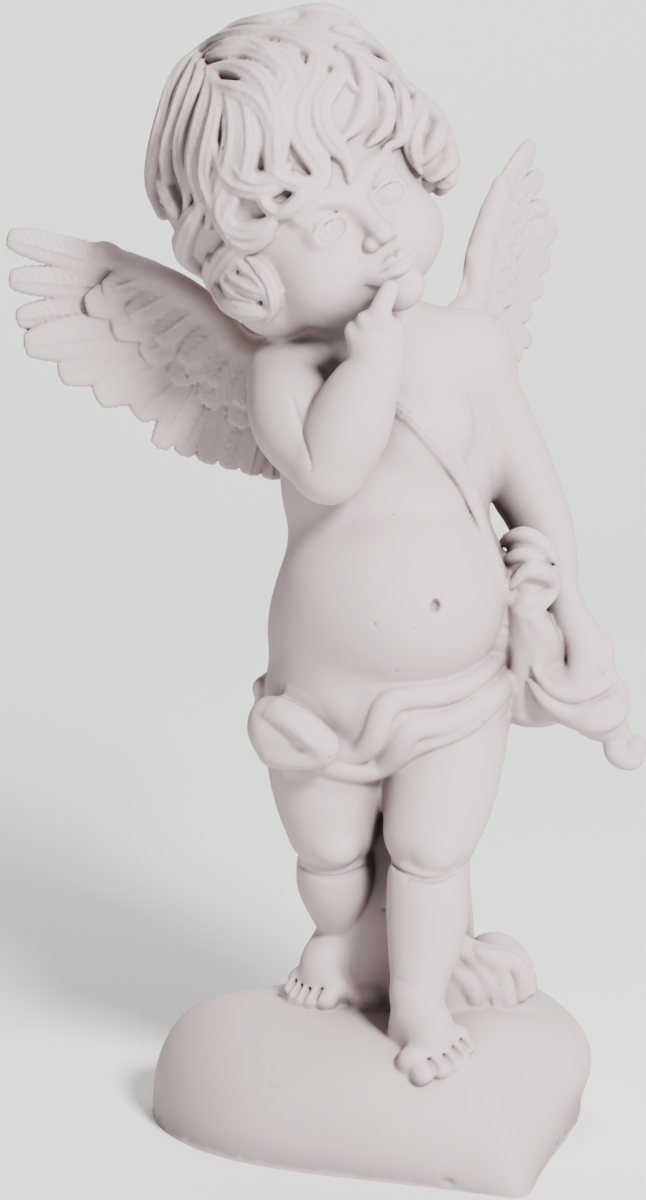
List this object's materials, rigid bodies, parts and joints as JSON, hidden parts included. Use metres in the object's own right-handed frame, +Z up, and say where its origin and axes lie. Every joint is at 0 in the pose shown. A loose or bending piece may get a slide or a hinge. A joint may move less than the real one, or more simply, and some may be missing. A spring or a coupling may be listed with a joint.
{
  "type": "cupid statue",
  "caption": "Standing plaster cherub with wings and a hip cloth on a heart-shaped cushion base, cast in one piece, finger at its lips.",
  "frame": {"origin": "on the flat underside of the base, below the middle of the figure", "axes": "+X to the right of someone who faces the statue, +Y behind it, +Z up"},
  "size_m": [0.3355, 0.251, 0.5977],
  "materials": {
    "plaster": "matte, fine-grained cast plaster with small pinholes"
  },
  "bodies": {
    "root": {"cupid_statue": "plaster"}
  },
  "joints": []
}
